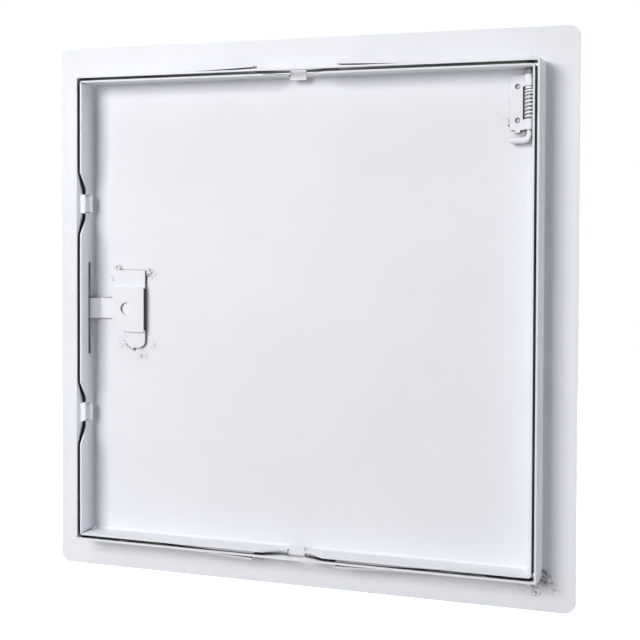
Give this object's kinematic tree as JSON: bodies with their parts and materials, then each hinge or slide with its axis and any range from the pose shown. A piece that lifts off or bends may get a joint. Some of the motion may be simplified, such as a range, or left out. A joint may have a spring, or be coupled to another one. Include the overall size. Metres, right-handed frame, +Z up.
{
  "type": "access panel",
  "caption": "Flush square sheet-steel access panel: flanged frame with fixing lugs, door tray on a spring pin hinge, cam latch on a spindle turned from the room side.",
  "frame": {"origin": "centre of the square opening, in the plane of the flange's rear face", "axes": "+Y towards the room through the front of the door, +Z up as in the picture, +X towards the hinge side"},
  "size_m": [0.34, 0.0195, 0.34],
  "materials": {
    "white_frame": "satin white powder coat",
    "white_door": "satin white powder coat",
    "white_fittings": "satin white powder coat",
    "plated_steel": "zinc plated",
    "spring_steel": "bright spring wire, overpainted"
  },
  "bodies": {
    "frame": {"frame": "white_frame", "pivot_stud": "white_frame"},
    "door": {"door_tray": "white_door", "hinge_leaf": "white_fittings", "hinge_welds": "white_fittings", "pin_spring": "spring_steel", "latch_bridge": "white_fittings", "latch_welds": "white_fittings", "cam_washer": "plated_steel"},
    "pin": {"spring_pin": "white_fittings", "pin_collar": "plated_steel"},
    "latch": {"latch_cam": "white_fittings", "latch_spindle": "plated_steel"}
  },
  "joints": [
    {"name": "door_hinge", "type": "hinge", "parent": "frame", "child": "door", "pos_m": [0.1424, -0.0042, 0], "axis": [0, 0, -1], "range_deg": [0, 98]},
    {"name": "pin_slide", "type": "slide", "parent": "door", "child": "pin", "axis": [0, 0, 1], "range_m": [-0.0055, 0], "stiffness_N_per_m": 700, "springref_m": 0.012, "deforming": ["pin_spring"]},
    {"name": "latch_turn", "type": "hinge", "parent": "door", "child": "latch", "pos_m": [-0.12, 0, 0], "axis": [0, -1, 0], "range_deg": [0, 55]}
  ]
}
